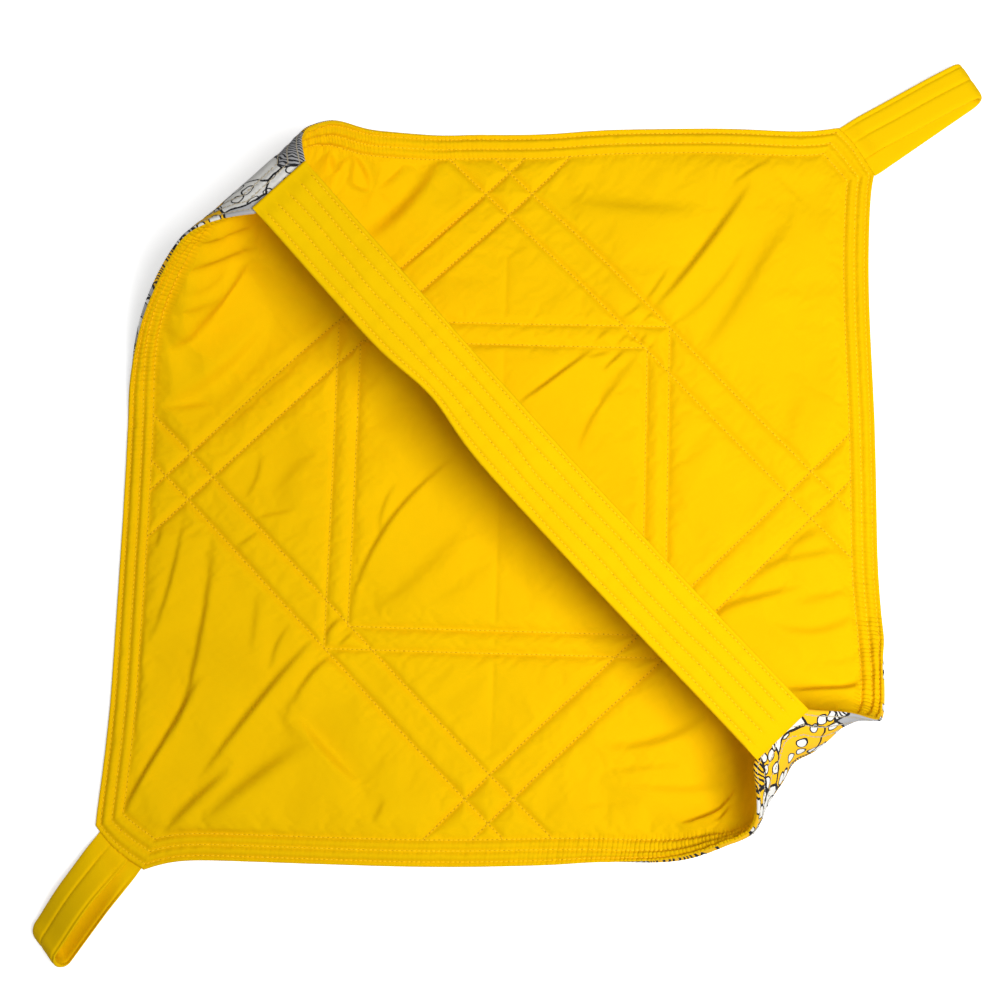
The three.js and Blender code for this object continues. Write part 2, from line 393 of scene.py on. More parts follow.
def lookup(table, across, up):
    """A table of values on an even grid over the square of cloth, read off between its lines with smooth
    cubic curves, first along and then across."""
    last = len(table) - 1
    column, row = (across / cloth_side + 0.5) * last, (up / cloth_side + 0.5) * last
    left, below = np.floor(column).astype(int), np.floor(row).astype(int)

    def shares(part):
        """Weights of the four lines around a place, by its part of the way from the second to the third."""
        return (
            ((2 - part) * part - 1) * part / 2,
            ((3 * part - 5) * part * part + 2) / 2,
            ((4 - 3 * part) * part + 1) * part / 2,
            (part - 1) * part * part / 2,
        )

    value = 0
    for rows, row_share in enumerate(shares(row - below)):
        for columns, column_share in enumerate(shares(column - left)):
            picked = table[np.clip(below + rows - 1, 0, last), np.clip(left + columns - 1, 0, last)]
            value = value + picked * row_share * column_share
    return value


least_height = 1.4 * mm


def lining_height(across, up):
    """Height of the lining above the flat underside: the quilting with its wrinkles and gathers, rolled down
    to the seam at the edge."""
    inner = ease(edge_distance(across, up), 0, hem_rows[1])
    height = quilted_height(across, up) + inner * lookup(wrinkles, across, up) + gathers(across, up)
    return rolled(across, up, np.maximum(height, least_height)) + standing(across, up)


def drape(across, up, height):
    """Where a flat place of the cloth lies, at a height above its underside. The sewing draws some stretches
    of the edge in. Then the strap's corners roll round two circles without stretching, a wide one up and a
    tight one back, while a lean slides them sideways with the square of the length that is rolled."""
    pulled_across, pulled_up = across, up
    for edge, middle, reach, depth in drawn_edges:
        along, out = edge_place(edge, across, up)
        pull = depth * mm * np.exp(-(((along - middle * mm) / (reach * mm)) ** 2))
        pull = pull * ease(out, draw_start, half_side)
        right, above = edge_ways[edge]
        pulled_across = pulled_across - right * pull
        pulled_up = pulled_up - above * pull
    x, y = diagonals(pulled_across, pulled_up)
    far = y > 0
    rise = np.where(far, far_rise, near_rise)
    crest = np.where(far, far_crest, near_crest)
    lean = np.where(far, far_lean, near_lean)
    start = np.where(far, far_start, near_start)
    length = seam_reach - start
    late = np.where(far, np.maximum(0, fold_end - start), near_delay)
    start = start + late * (np.abs(x) / fold_line) ** curl_delay
    for middle, reach, depth in near_bulges:
        start = start + np.where(far, 0, depth * mm * np.exp(-(((x - middle * mm) / (reach * mm)) ** 2)))
    rolled_up = np.maximum(0, np.abs(y) - start)
    turn_up = np.minimum(rolled_up / rise, quarter_turn)
    turn_back = np.maximum(0, rolled_up - quarter_turn * rise) / crest
    upright = turn_back > 0
    out_up = np.minimum(np.abs(y), start) + (rise - height) * np.sin(turn_up)
    out_back = start + rise - crest + (crest - height) * np.cos(turn_back)
    high_up = rise - (rise - height) * np.cos(turn_up)
    high_back = rise + (crest - height) * np.sin(turn_back)
    return np.stack([
        x + lean * (rolled_up / length) ** 2,
        np.sign(y) * np.where(upright, out_back, out_up),
        np.where(upright, high_back, high_up),
    ], axis=-1)


edge_band = 1.5 * edge_roll
edge_lines = half_side - edge_band * np.array([0, 0.08, 0.22, 0.42, 0.66])


def grid_cells(shape):
    """Corner numbers of the cells of a grid of places, in order round each cell."""
    numbers = np.arange(shape[0] * shape[1]).reshape(shape)
    corners = (numbers[:-1, :-1], numbers[:-1, 1:], numbers[1:, 1:], numbers[1:, :-1])
    return np.stack(corners, axis=-1).reshape(-1, 4)


def cloth_grid(spacing):
    """Flat places on a square grid, with a line on each sewn row and closer lines in the rolled edge. Places
    past a cut corner are pushed back onto the cut, and the cells that lie wholly past it are left out."""
    inner = half_side - edge_band
    middle = np.linspace(-inner, inner, round(2 * inner / spacing) + 1)
    rows = np.concatenate([half_side - hem_rows, square_rows])
    rows = np.concatenate([-rows, rows])
    middle = middle[nearest(middle, rows) > spacing / 2]
    lines = np.sort(np.concatenate([-edge_lines, middle, rows, edge_lines]))
    across, up = np.meshgrid(lines, lines)
    x, y = diagonals(across, up)
    past = (np.abs(x) > seam_reach) | (np.abs(y) > seam_reach)
    x = np.clip(x, -seam_reach, seam_reach)
    y = np.clip(y, -seam_reach, seam_reach)
    cells = grid_cells(across.shape)
    cells = cells[~past.ravel()[cells].all(axis=1)]
    return (x - y) / root_two, (x + y) / root_two, cells


def region_of(across, up):
    """Name of the cloth's region at each flat place: an end flap, a strap corner or the centre."""
    x, y = diagonals(across, up)
    sides = [x > fold_line, x < -fold_line, y > far_start, y < -near_start]
    return np.select(sides, ["right_flap", "left_flap", "far_corner", "near_corner"], "centre")


def unit(vectors):
    """The vectors' directions, with length 1."""
    return vectors / np.maximum(np.linalg.norm(vectors, axis=-1, keepdims=True), 1e-12)


def grid_normals(points):
    """Upward unit normals of a grid of points, from the steps between its neighbours."""
    return unit(np.cross(np.gradient(points, axis=1), np.gradient(points, axis=0)))


def quad_piece(name, points, quads, material, flat=None, normals=None):
    """A smooth mesh of four-sided faces at the origin. Flat places become its UV map, in metres."""
    used, quads = np.unique(quads, return_inverse=True)
    quads = quads.reshape(-1, 4)
    mesh = bpy.data.meshes.new(name)
    mesh.vertices.add(len(used))
    mesh.vertices.foreach_set("co", points[used].ravel())
    mesh.loops.add(quads.size)
    mesh.loops.foreach_set("vertex_index", quads.ravel())
    mesh.polygons.add(len(quads))
    mesh.polygons.foreach_set("loop_start", np.arange(0, quads.size, 4))
    mesh.update(calc_edges=True)
    mesh.shade_smooth()
    if flat is not None:
        mesh.uv_layers.new(name="flat").data.foreach_set("uv", flat[used][quads.ravel()].ravel())
    if normals is not None:
        mesh.normals_split_custom_set_from_vertices(normals[used])
    if material is not None:
        mesh.materials.append(material)
    piece = bpy.data.objects.new(name, mesh)
    bpy.context.scene.collection.objects.link(piece)
    return piece


# The lining is a little too large for the rows that hold it, so it buckles on the soft wadding. A cloth
# simulation finds these wrinkles on an even grid: the rows hold fast, and the wadding holds the rest softly.
wrinkle_spacing = 2.6 * mm
wrinkle_growth = 0.006
wrinkle_frames = 15
wrinkle_cap = 1.6 * mm
wadding_hold = 0.05
start_roughness = 0.05 * mm
cloth_settings = {
    "quality": 4, "mass": 0.1, "air_damping": 2, "vertex_group_mass": "held",
    "tension_stiffness": 25, "compression_stiffness": 25, "shear_stiffness": 8, "bending_stiffness": 1.5,
    "shrink_min": -wrinkle_growth, "shrink_max": -wrinkle_growth,
}


def simulate_wrinkles():
    """Rise and fall of the lining's wrinkles on an even grid, from a seeded start, held within the cap."""
    lines = np.linspace(-half_side, half_side, round(cloth_side / wrinkle_spacing) + 1)
    across, up = np.meshgrid(lines, lines)
    start = quilted_height(across, up)
    rough = start + np.random.default_rng(4).normal(0, start_roughness, start.shape)
    places = np.stack([across, up, rough], axis=-1).reshape(-1, 3)
    sheet = quad_piece("loose_lining", places, grid_cells(start.shape), None)
    fast = (row_distance(across, up) < wrinkle_spacing / 2) | (edge_distance(across, up) < hem_rows[0])
    held = sheet.vertex_groups.new(name="held")
    held.add(np.flatnonzero(fast).tolist(), 1.0, "REPLACE")
    held.add(np.flatnonzero(~fast).tolist(), wadding_hold, "REPLACE")
    cloth = sheet.modifiers.new("cloth", "CLOTH")
    for setting, value in cloth_settings.items():
        setattr(cloth.settings, setting, value)
    cloth.settings.effector_weights.gravity = 0
    cloth.collision_settings.use_collision = False
    for step in range(1, wrinkle_frames + 1):
        bpy.context.scene.frame_set(step)
    done = sheet.evaluated_get(bpy.context.evaluated_depsgraph_get()).to_mesh()
    settled = np.empty(3 * start.size)
    done.vertices.foreach_get("co", settled)
    bpy.data.meshes.remove(sheet.data)
    bpy.context.scene.frame_set(1)
    rise = settled[2::3].reshape(start.shape) - start
    return wrinkle_cap * np.tanh(rise / wrinkle_cap)


wrinkles = simulate_wrinkles()

# Each region lists the base, its own body and the two places between which the cloth would bend from one into
# the other, where it crosses a fold or stands up to the strap. Only the centre is tied to a body, the base.
flap_bend = 42 * mm
bend_foot, far_bend_top, near_bend_top = 9 * mm, 88 * mm, 58 * mm
region_ties = {
    "centre": None,
    "right_flap": ("base", "right_flap", (fold_line, 0, 0), (fold_line + flap_bend, 0, 0)),
    "left_flap": ("base", "left_flap", (-fold_line, 0, 0), (-fold_line - flap_bend, 0, 0)),
    "far_corner": ("base", "strap", (0, 0, bend_foot), (0, 0, far_bend_top)),
    "near_corner": ("base", "strap", (0, 0, bend_foot), (0, 0, near_bend_top)),
}


def tie_region(piece, region):
    """The centre's piece rides on the base; another region's piece is baked in place and tied to no body."""
    tie = region_ties[region]
    if tie is None:
        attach(piece, "base")
        return
    first, second, start, end = tie
    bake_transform(piece)
    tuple(start)
    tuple(end)


def feed(tree, socket, value):
    """Links a shader socket to another node's output, or sets it to a value."""
    if isinstance(value, bpy.types.NodeSocket):
        tree.links.new(value, socket)
    else:
        socket.default_value = value


def add_node(tree, kind, **inputs):
    """A shader node whose inputs are set to values or linked to other nodes' outputs."""
    node = tree.nodes.new(kind)
    for name, value in inputs.items():
        feed(tree, node.inputs[name.replace("_", " ")], value)
    return node


def math_node(tree, operation, first, second):
    """One sum of two sockets or numbers."""
    node = tree.nodes.new("ShaderNodeMath")
    node.operation = operation
    feed(tree, node.inputs[0], first)
    feed(tree, node.inputs[1], second)
    return node.outputs[0]


def mix_colours(tree, share, first, second):
    """The first colour, going over to the second with the share."""
    node = tree.nodes.new("ShaderNodeMix")
    node.data_type = "RGBA"
    for number, value in ((0, share), (6, first), (7, second)):
        feed(tree, node.inputs[number], value)
    return node.outputs[2]


def new_material(name, **settings):
    """A material, its node tree and its shader, with the shader's inputs set to those values."""
    material = bpy.data.materials.new(name)
    material.use_nodes = True
    tree = material.node_tree
    shader = tree.nodes["Principled BSDF"]
    for setting, value in settings.items():
        feed(tree, shader.inputs[setting.replace("_", " ")], value)
    return material, tree, shader


wave_turns = 20 / (2 * np.pi)
weave_pitch, weave_depth = 0.55 * mm, 0.1 * mm
weave_strength = 0.35


def weave_height(tree, place):
    """Plain weave: ridges of warp and weft that take turns on top, in a checkerboard of threads."""
    ridges = []
    for direction in ("X", "Y"):
        wave = add_node(tree, "ShaderNodeTexWave", Vector=place, Scale=1 / (weave_pitch * wave_turns))
        wave.bands_direction = direction
        ridges.append(wave.outputs["Fac"])
    checker = add_node(tree, "ShaderNodeTexChecker", Vector=place, Scale=1 / weave_pitch)
    swap = math_node(tree, "SUBTRACT", 1.0, checker.outputs["Fac"])
    warp = math_node(tree, "MULTIPLY", ridges[0], checker.outputs["Fac"])
    weft = math_node(tree, "MULTIPLY", ridges[1], swap)
    return math_node(tree, "ADD", warp, weft)


# Creases across the hem. Away from the diagonal between the loops, by up less across, they go from the least
# to the full depth. They are patchy too, by noise between two levels, and fade out inside the hem.
crease_pitch, crease_depth = 2.85 * mm, 0.35 * mm
crease_slant = 0.12
crease_sharpness = 3.5
crease_start, crease_full, least_crease = 210 * mm, 300 * mm, 0.25
crease_fade = 4 * mm
crease_patches, least_crease_patch = (0.3, 0.6), 0.6


def ramp(tree, value, low, high, least=0.0):
    """A share in a shader that goes evenly from the least, where the value is low, to 1."""
    node = add_node(tree, "ShaderNodeMapRange", Value=value, From_Min=low, From_Max=high, To_Min=least)
    return node.outputs[0]


def hem_creases(tree, place):
    """Height of the fine creases that cut the hem's strips into uneven beads. They are deepest beside the
    curled corners, and fade away inside the hem's inner row."""
    axes = add_node(tree, "ShaderNodeSeparateXYZ", Vector=place)
    across, up = axes.outputs["X"], axes.outputs["Y"]
    out_across = math_node(tree, "ABSOLUTE", across, 0.0)
    out_up = math_node(tree, "ABSOLUTE", up, 0.0)
    out = math_node(tree, "MAXIMUM", out_across, out_up)
    sideways = math_node(tree, "GREATER_THAN", out_across, out_up)
    to_up = math_node(tree, "SUBTRACT", up, across)
    along = math_node(tree, "ADD", across, math_node(tree, "MULTIPLY", sideways, to_up))
    shifted = math_node(tree, "ADD", along, math_node(tree, "MULTIPLY", out, crease_slant))
    beads = add_node(tree, "ShaderNodeTexVoronoi", Scale=1 / crease_pitch, Randomness=0.6)
    beads.voronoi_dimensions = "1D"
    beads.feature = "DISTANCE_TO_EDGE"
    feed(tree, beads.inputs["W"], shifted)
    bead = math_node(tree, "MULTIPLY", beads.outputs["Distance"], crease_sharpness)
    bead = math_node(tree, "MINIMUM", bead, 1.0)
    inner = half_side - hem_rows[-1]
    hem = ramp(tree, out, inner - crease_fade, inner)
    corner = math_node(tree, "ABSOLUTE", to_up, 0.0)
    pulled = ramp(tree, corner, crease_start, crease_full, least_crease)
    tone = add_node(tree, "ShaderNodeTexNoise", Vector=place, Scale=25.0, Detail=0.0)
    patchy = ramp(tree, tone.outputs["Fac"], *crease_patches, least_crease_patch)
    depth = math_node(tree, "MULTIPLY", math_node(tree, "MULTIPLY", hem, pulled), patchy)
    return math_node(tree, "MULTIPLY", bead, depth)


# Shares of the colour's drift that are in patches and in threads, and the slubs' height beside the weave's.
patch_drift, thread_drift = 0.8, 0.2
slub_height = 0.6


def cotton(name, colour, worn_colour, creases=None):
    """Plain-weave cotton: its colour drifts a little in soft patches and from thread to thread. The weave, a
    few slubs and the creases, if any, are in its bump."""
    material, tree, shader = new_material(
        name,
        Roughness=0.85,
        Specular_IOR_Level=0.04,
        Sheen_Weight=0.03,
        Sheen_Roughness=0.5,
        Sheen_Tint=colour,
    )
    place = tree.nodes.new("ShaderNodeTexCoord").outputs["UV"]
    patches = add_node(tree, "ShaderNodeTexNoise", Vector=place, Scale=22.0, Detail=3.0)
    threads = add_node(tree, "ShaderNodeTexNoise", Vector=place, Scale=900.0, Detail=2.0)
    broad = math_node(tree, "MULTIPLY", patches.outputs["Fac"], patch_drift)
    fine = math_node(tree, "MULTIPLY", threads.outputs["Fac"], thread_drift)
    drift = math_node(tree, "ADD", broad, fine)
    feed(tree, shader.inputs["Base Color"], mix_colours(tree, drift, colour, worn_colour))
    slubs = math_node(tree, "MULTIPLY", threads.outputs["Fac"], slub_height)
    height = math_node(tree, "ADD", weave_height(tree, place), slubs)
    bump = add_node(tree, "ShaderNodeBump", Height=height, Strength=weave_strength, Distance=weave_depth)
    if creases is not None:
        creased = add_node(tree, "ShaderNodeBump", Height=creases(tree, place), Distance=crease_depth)
        feed(tree, bump.inputs["Normal"], creased.outputs["Normal"])
    feed(tree, shader.inputs["Normal"], bump.outputs["Normal"])
    return material


def lay_cloth(face, layers, material, spacing, height, tuck, outward):
    """One face of the cloth, region by region. Each region stands for those layers of its nodes, and is a
    sheet that lies on the other face or the table."""
    across, up, cells = cloth_grid(spacing)
    points = drape(*tucked(across, up, tuck), height(across, up))
    normals = outward * grid_normals(points).reshape(-1, 3)
    points = points.reshape(-1, 3)
    flat = np.stack([across.ravel(), up.ravel()], axis=-1)
    cells = cells[:, ::outward]
    cell_regions = region_of(*flat[cells].mean(axis=1).T)
    for region in region_ties:
        chosen = cell_regions == region
        piece = quad_piece(face + "_cloth_" + region, points, cells[chosen], material, flat, normals)
        tie_region(piece, region)
        bent = region.endswith("corner")
        for part in ("wall", "crest") if bent else ("",):
            node = region.replace("corner", part)
            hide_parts(*(layer + "_" + node for layer in layers))
        sides = np.stack(diagonals(*flat[np.unique(cells[chosen])].T))


lining_cotton = cotton("lining_cotton", (0.89, 0.548, 0.0, 1), (0.82, 0.474, 0.0, 1), hem_creases)
lining_spacing = 1.15 * mm
lining_layers = ("lining", "wadding")
lay_cloth("lining", lining_layers, lining_cotton, lining_spacing, lining_height, hem_rows[1], 1)

# The outer
# A second square of cotton, cut like the lining and printed with a loose patchwork in black, white, grey and
# yellow. It lies on the table, and shows where the strap's corners turn back.
outer_dent = 1.1 * mm
outer_pucker = 0.3
outer_spacing = 2.2 * mm


def outer_height(across, up):
    """Height of the outer: flat on the table, dented along the sewn rows, and rolled up to the seam."""
    dent = outer_dent * np.exp(-row_distance(across, up) / row_softness)
    dent = dent + outer_pucker * np.maximum(0, gathers(across, up))
    return rolled(across, up, dent) + standing(across, up)


# The print: sizes of its patches and marks, its colours, and the shares of patches that are grey or yellow,
# strewn with blobs, or hatched. A hatch leaves a gap between its lines.
patch_size, blob_pitch, hatch_pitch = 24 * mm, 9 * mm, 1.3 * mm
print_wobble = 9 * mm
white_print, grey_print = (0.8, 0.79, 0.75, 1), (0.42, 0.42, 0.43, 1)
yellow_print, ink = (0.9, 0.5, 0.01, 1), (0.012, 0.012, 0.014, 1)
grey_from, yellow_from = 0.38, 0.66
blobs_below, hatch_above, hatch_gap = 0.4, 0.62, 0.55
blob_reach, blob_core_reach = 0.36, 0.27
outline_reach = 0.03


def cell_texture(tree, place, size, feature="F1"):
    """A pattern of uneven cells of about that size, and the distance to their middles or borders."""
    cells = add_node(tree, "ShaderNodeTexVoronoi", Vector=place, Scale=1 / size)
    cells.voronoi_dimensions = "2D"
    cells.feature = feature
    return cells


def patchwork_print(name):
    """Printed cotton: patches with black outlines, each plain, hatched with fine lines, or strewn with white
    blobs that have outlines too."""
    material, tree, shader = new_material(name, Roughness=0.85, Specular_IOR_Level=0.2)
    place = tree.nodes.new("ShaderNodeTexCoord").outputs["UV"]
    wobble = add_node(tree, "ShaderNodeTexNoise", Vector=place, Scale=60.0, Detail=2.0)
    pushed = tree.nodes.new("ShaderNodeVectorMath")
    pushed.operation = "SCALE"
    feed(tree, pushed.inputs[0], wobble.outputs["Color"])
    feed(tree, pushed.inputs["Scale"], print_wobble)
    moved = tree.nodes.new("ShaderNodeVectorMath")
    moved.operation = "ADD"
    feed(tree, moved.inputs[0], place)
    feed(tree, moved.inputs[1], pushed.outputs[0])
    drawn = moved.outputs[0]
    patch = cell_texture(tree, drawn, patch_size)
    border = cell_texture(tree, drawn, patch_size, "DISTANCE_TO_EDGE")
    lot = tree.nodes.new("ShaderNodeSeparateColor")
    feed(tree, lot.inputs[0], patch.outputs["Color"])
    ground = tree.nodes.new("ShaderNodeValToRGB")
    stops = ground.color_ramp.elements
    ground.color_ramp.interpolation = "CONSTANT"
    stops.remove(stops[1])
    stops[0].color = white_print
    stops.new(grey_from).color = grey_print
    stops.new(yellow_from).color = yellow_print
    feed(tree, ground.inputs[0], lot.outputs[0])
    hatch = add_node(tree, "ShaderNodeTexWave", Vector=drawn, Scale=1 / (hatch_pitch * wave_turns))
    hatch.bands_direction = "DIAGONAL"
    hatch_ink = math_node(tree, "GREATER_THAN", hatch.outputs["Fac"], hatch_gap)
    hatched = math_node(tree, "GREATER_THAN", lot.outputs[1], hatch_above)
    from_blob = cell_texture(tree, drawn, blob_pitch).outputs["Distance"]
    blotched = math_node(tree, "LESS_THAN", lot.outputs[1], blobs_below)
    blob = math_node(tree, "MULTIPLY", math_node(tree, "LESS_THAN", from_blob, blob_reach), blotched)
    blob_core = math_node(tree, "LESS_THAN", from_blob, blob_core_reach)
    blob_ring = math_node(tree, "SUBTRACT", blob, math_node(tree, "MULTIPLY", blob_core, blotched))
    outline = math_node(tree, "LESS_THAN", border.outputs["Distance"], outline_reach)
    marks = math_node(tree, "MULTIPLY", hatch_ink, hatched)
    marks = math_node(tree, "MAXIMUM", marks, blob_ring)
    marks = math_node(tree, "MAXIMUM", marks, outline)
    filled = mix_colours(tree, blob, ground.outputs["Color"], white_print)
    feed(tree, shader.inputs["Base Color"], mix_colours(tree, marks, filled, ink))
    weave = weave_height(tree, place)
    bump = add_node(tree, "ShaderNodeBump", Height=weave, Strength=weave_strength, Distance=weave_depth)
    feed(tree, shader.inputs["Normal"], bump.outputs["Normal"])
    return material


printed_cotton = patchwork_print("printed_cotton")
lay_cloth("outer", ("outer",), printed_cotton, outer_spacing, outer_height, edge_roll, -1)

# The thread of the quilting
# Sewing thread in a lockstitch, yellow on the lining and grey on the outer: three rows round the hem, two
# round the square and two along each side of the diamond. Each stitch lies in its row and dips at its ends.
stitch_pitch = 2.85 * mm
stitch_length = 2.1 * mm
thread_width = 0.8 * mm
stitch_dip = 0.35 * mm
quilt_proud = 0.3 * mm
bridge_lift = 0.25 * mm
hole_size = 0.85 * mm
hole_lift = 0.15 * mm


def hem_corners(depth):
    """Corners of the eight-sided row at that depth from the edge."""
    side = half_side - depth
    short = (seam_reach - depth) * root_two - side
    ring = [(side, short), (short, side), (-short, side), (-side, short)]
    ring += [(-side, -short), (-short, -side), (short, -side), (side, -short)]
    return ring


def run_stitches(start, end):
    """Middles and directions of the stitches on one straight run."""
    start, end = np.array(start), np.array(end)
    length = np.hypot(*(end - start))
    count = max(1, round(length / stitch_pitch))
    share = (np.arange(count) + 0.5)[:, None] / count
    return start + share * (end - start), np.tile((end - start) / length, (count, 1))


sewn_runs = []
for depth in hem_rows:
    ring = hem_corners(depth)
    sewn_runs += zip(ring, ring[1:] + ring[:1])
for row in square_rows:
    ring = [(row, row), (-row, row), (-row, -row), (row, -row)]
    sewn_runs += zip(ring, ring[1:] + ring[:1])
for row in diamond_rows:
    reach = (half_side - hem_rows[-1]) * root_two - row
    for side in (-1, 1):
        ends = [(side * row, -reach), (side * row, reach)]
        sewn_runs.append([((x - y) / root_two, (x + y) / root_two) for x, y in ends])
        sewn_runs.append([((y - x) / root_two, (x + y) / root_two) for x, y in ends])
sewn_stitches = [run_stitches(*run) for run in sewn_runs]
stitch_middles, stitch_runs = (np.concatenate(parts) for parts in zip(*sewn_stitches))

# A stitch is a spindle of three rings of four points, along its run, across it and up from the cloth.
end_taper = 0.35
spindle = np.array([
    (along, width * np.cos(turn), width * np.sin(turn))
    for along, width in ((-1, end_taper), (0, 1), (1, end_taper))
    for turn in np.arange(4) * quarter_turn + quarter_turn / 2
])
spindle_quads = [(ring + k, ring + (k + 1) % 4, ring + 4 + (k + 1) % 4, ring + 4 + k)
                 for ring in (0, 4) for k in range(4)]
stitch_quads = np.array(spindle_quads + [(3, 2, 1, 0), (8, 9, 10, 11), (12, 13, 14, 15)])
hole_corners = np.array([(-1, -1), (1, -1), (1, 1), (-1, 1)]) * hole_size / 2


def stitch_piece(name, middles, runs, ups, proud, thread, hole_shade):
    """One spindle for each stitch, its ends sunk below its middle, and a needle hole after it: a small square
    that lies on the cloth, which the stitch's middle stands proud of. Its dark colour is partly the hole and
    partly painted shade of the dimple round it."""
    sides = np.cross(ups, runs)
    points = middles[:, None]
    points = points + spindle[:, 0, None] * (stitch_length / 2) * runs[:, None]
    points = points + spindle[:, 1, None] * (thread_width / 2) * sides[:, None]
    rise = spindle[:, 2] * (thread_width / 2) - stitch_dip * np.abs(spindle[:, 0])
    points = points + rise[:, None] * ups[:, None]
    hole_middles = middles + stitch_pitch / 2 * runs - (proud - hole_lift) * ups
    holes = hole_middles[:, None] + hole_corners[:, 0, None] * runs[:, None]
    holes = holes + hole_corners[:, 1, None] * sides[:, None]
    points = np.concatenate([points, holes], axis=1)
    starts = np.arange(len(middles))[:, None, None] * points.shape[1]
    quads = (starts + stitch_quads).reshape(-1, 4)
    piece = quad_piece(name, points.reshape(-1, 3), quads, thread)
    piece.data.materials.append(hole_shade)
    shades = np.zeros((len(middles), len(stitch_quads)), dtype=int)
    shades[:, -1] = 1
    piece.data.polygons.foreach_set("material_index", shades.ravel())
    return piece


deep_shade = (0.88, 0.84, 1, 1)
twist_strength, twist_depth = 0.3, 0.05 * mm


def sewing_thread(name, colour):
    """Spun cotton thread: its colour drifts along it, and a fine twist is in its bump."""
    material, tree, shader = new_material(name, Roughness=0.7, Specular_IOR_Level=0.1)
    place = tree.nodes.new("ShaderNodeTexCoord").outputs["Object"]
    tone = add_node(tree, "ShaderNodeTexNoise", Vector=place, Scale=300.0, Detail=1.0)
    deep = [part * share for part, share in zip(colour, deep_shade)]
    feed(tree, shader.inputs["Base Color"], mix_colours(tree, tone.outputs["Fac"], colour, deep))
    twist = add_node(tree, "ShaderNodeTexNoise", Vector=place, Scale=5000.0, Detail=1.0)
    bump = add_node(tree, "ShaderNodeBump", Strength=twist_strength, Distance=twist_depth)
    feed(tree, bump.inputs["Height"], twist.outputs["Fac"])
    feed(tree, shader.inputs["Normal"], bump.outputs["Normal"])
    return material


yellow_thread = sewing_thread("yellow_thread", (0.98, 0.64, 0.01, 1))
# The needle holes' dark orange is partly the hole itself and partly painted shade of the dimple that each
# stitch pulls in.
needle_hole_shade = sewing_thread("needle_hole_shade", (0.62, 0.33, 0.0, 1))
grey_thread = sewing_thread("grey_thread", (0.52, 0.46, 0.3, 1))
stitch_probe = 0.4 * mm


def sew_rows(face, height, tuck, outward, thread, hole_shade):
    """The stitches of one face, region by region. A stitch's run and normal come from the cloth around it.
    The cloth's cells bridge the valley of a row that crosses them slantwise, so stitches lie higher there."""
    across, up = stitch_middles.T
    slant = 2 * np.abs(stitch_runs[:, 0] * stitch_runs[:, 1])
    lift = outward * (quilt_proud + bridge_lift * slant)
    place = lambda across, up: drape(*tucked(across, up, tuck), height(across, up) + lift)
    middles = place(across, up)
    ahead = stitch_runs * stitch_probe
    runs = place(across + ahead[:, 0], up + ahead[:, 1]) - place(across - ahead[:, 0], up - ahead[:, 1])
    runs = unit(runs)
    wide = 4 * stitch_probe
    right = drape(across + wide, up, rim_height) - drape(across - wide, up, rim_height)
    above = drape(across, up + wide, rim_height) - drape(across, up - wide, rim_height)
    ups = outward * np.cross(right, above)
    ups = unit(ups - (ups * runs).sum(axis=1, keepdims=True) * runs)
    regions = region_of(across, up)
    for region in region_ties:
        chosen = regions == region
        name = face + "_thread_" + region
        piece = stitch_piece(name, middles[chosen], runs[chosen], ups[chosen], quilt_proud, thread, hole_shade)
        tie_region(piece, region)


sew_rows("lining", lining_height, hem_rows[1], 1, yellow_thread, needle_hole_shade)
# On the outer the needle-hole squares take the grey thread's colour, with no painted shade.
sew_rows("outer", outer_height, edge_roll, -1, grey_thread, grey_thread)

# The strap
# A flat sleeve of the same yellow cotton round a stiff strip, quilted with five parallel rows. Its ends are
# pressed flat on the seams of the two curled corners and sewn down, so it spans the cloth like a handle.
strap_width = 40 * mm
strap_thick = 3.6 * mm
strap_rows = np.array([-15.6, -7.6, 0.6, 9.2, 17.2]) * mm
strap_bow = -2.8 * mm
strap_tuck = 3 * mm
strap_proud = 0.2 * mm
strap_groove = 1.0 * mm
groove_width = 0.95 * mm
strap_rounding, edge_share = 0.09, 0.22
bow_power, groove_power = 1.3, 1.3
strap_stations, strap_columns = 300, 121

# The notch's depth, and its middle and reach as shares of the length. Then how far rows wander, the faces
# ripple and the whole strap waves, each with its size along the strap and how much closer it is across it.
notch_depth, notch_share, notch_reach = 5.0 * mm, 0.65, 0.065
row_wander, wander_size, wander_closer = 1.3 * mm, 28 * mm, 2
face_ripple, ripple_size, ripple_closer = 0.22 * mm, 4.2 * mm, 0.4
strap_wave, strap_wave_size, strap_wave_closer = 0.8 * mm, 38 * mm, 0.2

# The ends: their half thickness, the length over which they are pressed, and how they lie on the seams.
end_half = 0.6 * mm
end_press = 9 * mm
end_lift = 0.9 * mm
near_shift = 3 * mm
near_top, far_top = near_rise + near_crest + end_lift, far_rise + far_crest + end_lift
near_seam = Vector((near_lean + near_shift, -(near_start + near_rise - near_crest), near_top))
far_seam = Vector((far_lean, far_start + far_rise - far_crest, far_top))


def band_half(offset, width, thick, rounding, rows, groove):
    """Half thickness of a sewn band at an offset from its middle: full, rounded off over a share of its width
    towards both edges, with a groove along each row."""
    edge = np.clip(1 - np.abs(2 * offset / width), 0, 1)
    full = np.sqrt(1 - (1 - np.minimum(1, edge / rounding)) ** 2)
    body = thick / 2 * raised(edge_share, full)
    return body - groove * np.exp(-((nearest(offset, rows) / groove_width) ** groove_power))


def band_quads(stations, columns):
    """Faces of a closed band: its upper and lower grids, the strips that join their sides, and both ends."""
    numbers = np.arange(2 * stations * columns).reshape(2, stations, columns)
    grid = lambda g: np.stack([g[:-1, :-1], g[1:, :-1], g[1:, 1:], g[:-1, 1:]], axis=-1).reshape(-1, 4)
    upper, lower = numbers
    strip = lambda a, b: np.stack([a[:-1], b[:-1], b[1:], a[1:]], axis=-1)
    return np.concatenate([
        grid(upper)[:, ::-1],
        grid(lower),
        strip(upper[:, 0], lower[:, 0])[:, ::-1],
        strip(upper[:, -1], lower[:, -1]),
        strip(upper[0], lower[0]),
        strip(upper[-1], lower[-1])[:, ::-1],
    ])


